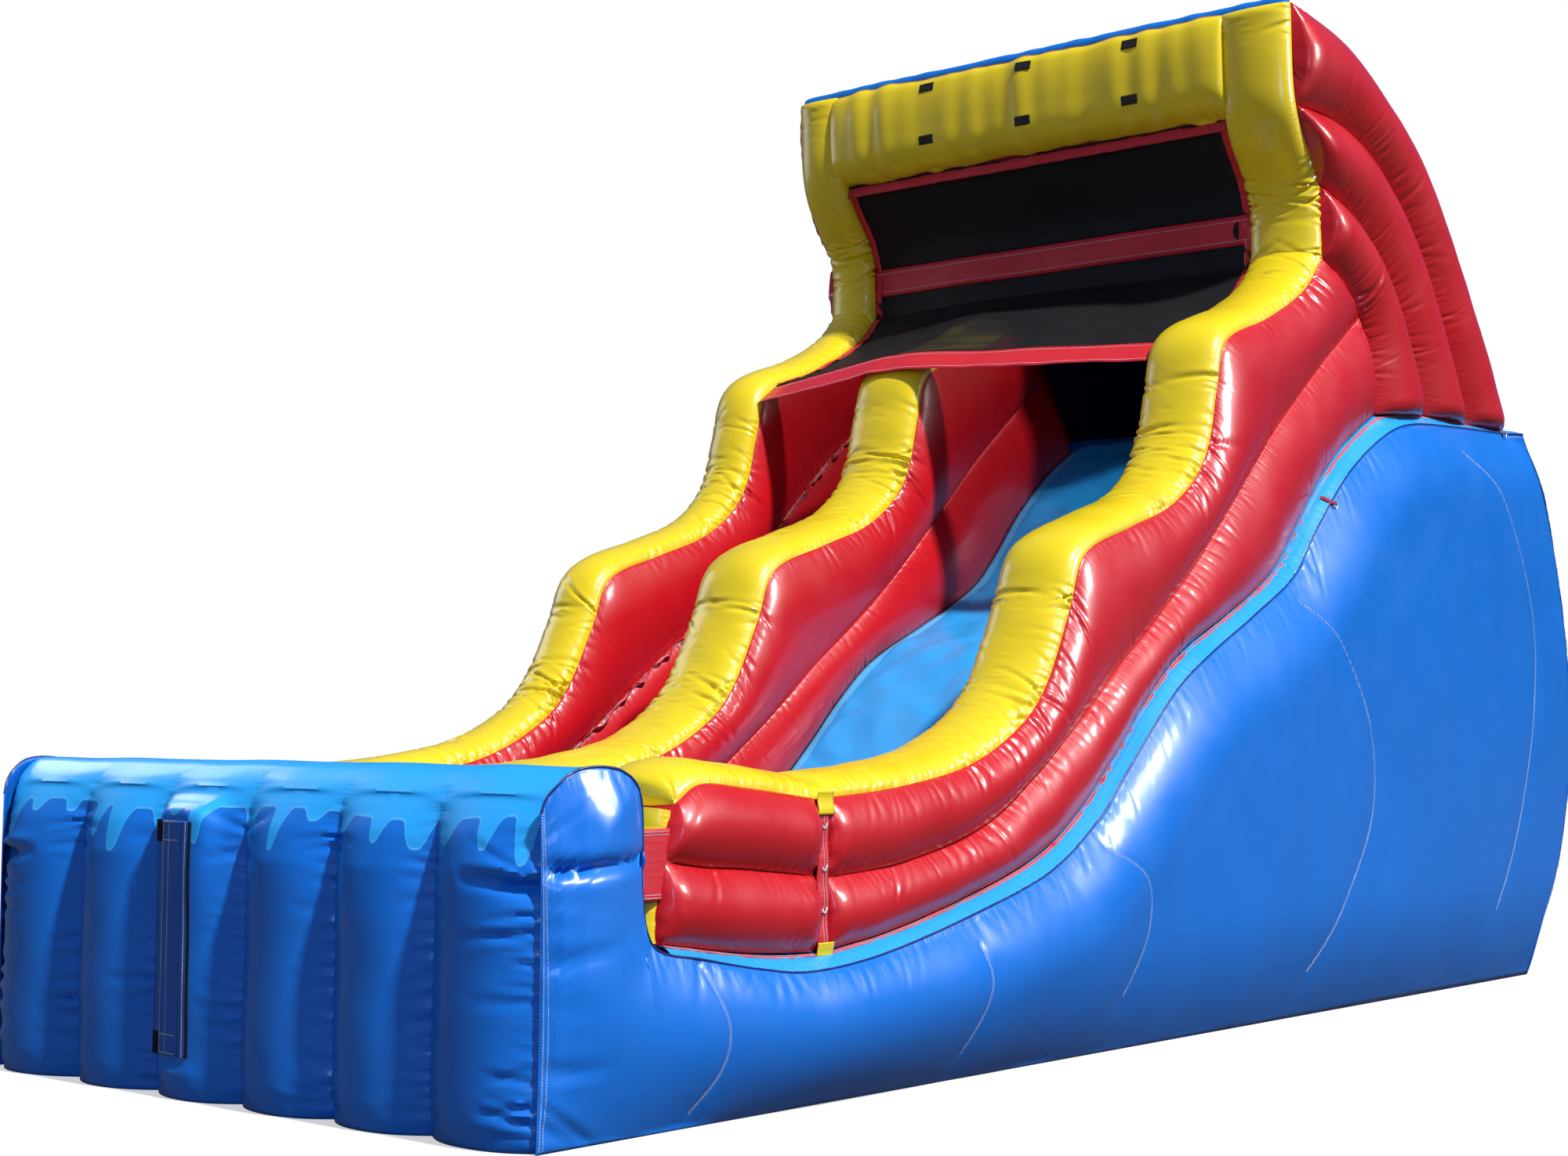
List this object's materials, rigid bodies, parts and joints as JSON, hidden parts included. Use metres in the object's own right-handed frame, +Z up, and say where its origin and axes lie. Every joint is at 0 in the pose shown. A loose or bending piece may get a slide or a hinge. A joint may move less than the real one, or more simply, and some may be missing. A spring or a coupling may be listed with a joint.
{
  "type": "inflatable water slide",
  "caption": "Inflatable water slide with a wavy slide lane, a climbing lane, padded walls, a netted tower and a splash landing behind a stop bumper.",
  "frame": {"origin": "on the ground, at the middle of the footprint", "axes": "+Z up, +Y from the stop bumper towards the tower, +X to the right of someone who faces the slide"},
  "size_m": [3.7622, 9.2805, 5.604],
  "materials": {
    "yellow_vinyl": "gloss",
    "red_vinyl": "gloss",
    "blue_vinyl": "gloss",
    "light_blue_vinyl": "gloss",
    "hem_vinyl": "satin",
    "black_net": "matte",
    "black_hook_tape": "matte",
    "red_webbing": "matte",
    "steel_wire": "satin"
  },
  "bodies": {
    "slide": {"base_sheet": "blue_vinyl", "climb_step_1": "red_vinyl", "climb_step_2": "red_vinyl", "climb_step_3": "red_vinyl", "climb_step_4": "red_vinyl", "climb_step_5": "red_vinyl", "front_bumper": "blue_vinyl", "header_beam": "yellow_vinyl", "header_patch_lower_centre": "black_hook_tape", "header_patch_lower_left": "black_hook_tape", "header_patch_lower_right": "black_hook_tape", "header_patch_upper_centre": "black_hook_tape", "header_patch_upper_left": "black_hook_tape", "header_patch_upper_right": "black_hook_tape", "inflation_tube": "blue_vinyl", "inner_baffle": "blue_vinyl", "joining_flap": "hem_vinyl", "lacing_strip": "hem_vinyl", "landing_bed": "blue_vinyl", "left_front_tether_strap": "red_webbing", "left_lower_bolster": "red_vinyl", "left_rear_tether_strap": "red_webbing", "left_side_panel": "blue_vinyl", "left_tower_column_1": "red_vinyl", "left_tower_column_2": "red_vinyl", "left_tower_column_3": "red_vinyl", "left_trim_strip": "light_blue_vinyl", "left_upper_bolster": "red_vinyl", "left_wall_cap": "yellow_vinyl", "lower_net": "black_net", "mid_lower_bolster": "red_vinyl", "mid_upper_bolster": "red_vinyl", "mid_wall_cap": "yellow_vinyl", "net_band": "hem_vinyl", "net_front_hem": "hem_vinyl", "pool_cap": "yellow_vinyl", "pool_lower_bolster": "red_vinyl", "pool_upper_bolster": "red_vinyl", "rear_panel": "blue_vinyl", "right_front_tether_strap": "red_webbing", "right_lower_bolster": "red_vinyl", "right_rear_tether_strap": "red_webbing", "right_side_panel": "blue_vinyl", "right_tower_column_1": "red_vinyl", "right_tower_column_2": "red_vinyl", "right_tower_column_3": "red_vinyl", "right_trim_strip": "light_blue_vinyl", "right_upper_bolster": "red_vinyl", "right_wall_cap": "yellow_vinyl", "roof_panel": "blue_vinyl", "slide_bed": "blue_vinyl", "slide_liner": "light_blue_vinyl", "upper_net": "black_net", "zip_tape": "black_hook_tape"},
    "port_flap": {"port_flap": "blue_vinyl"},
    "zip_slider": {"zip_slider": "steel_wire"},
    "left_front_ring": {"left_front_tether_ring": "steel_wire"},
    "left_rear_ring": {"left_rear_tether_ring": "steel_wire"},
    "right_front_ring": {"right_front_tether_ring": "steel_wire"},
    "right_rear_ring": {"right_rear_tether_ring": "steel_wire"}
  },
  "joints": [
    {"name": "port_flap_hinge", "type": "hinge", "parent": "slide", "child": "port_flap", "pos_m": [-0.2965, -4.38022, 0.65], "axis": [0, 0, 1], "range_deg": [0, 150]},
    {"name": "zip_travel", "type": "slide", "parent": "slide", "child": "zip_slider", "axis": [0, 0, -1], "range_m": [0, 0.9]},
    {"name": "left_front_ring_swing", "type": "hinge", "parent": "slide", "child": "left_front_ring", "pos_m": [-1.852, 1.5244, 2.75333], "axis": [0, 0.7461, 0.6658], "range_deg": [-10, 110]},
    {"name": "left_rear_ring_swing", "type": "hinge", "parent": "slide", "child": "left_rear_ring", "pos_m": [-1.83267, 3.82715, 3.3668], "axis": [0, 0.999, 0.0447], "range_deg": [-10, 110]},
    {"name": "right_front_ring_swing", "type": "hinge", "parent": "slide", "child": "right_front_ring", "pos_m": [1.852, 1.5244, 2.75333], "axis": [0, -0.7461, -0.6658], "range_deg": [-10, 110]},
    {"name": "right_rear_ring_swing", "type": "hinge", "parent": "slide", "child": "right_rear_ring", "pos_m": [1.83267, 3.82715, 3.3668], "axis": [0, -0.999, -0.0447], "range_deg": [-10, 110]}
  ]
}
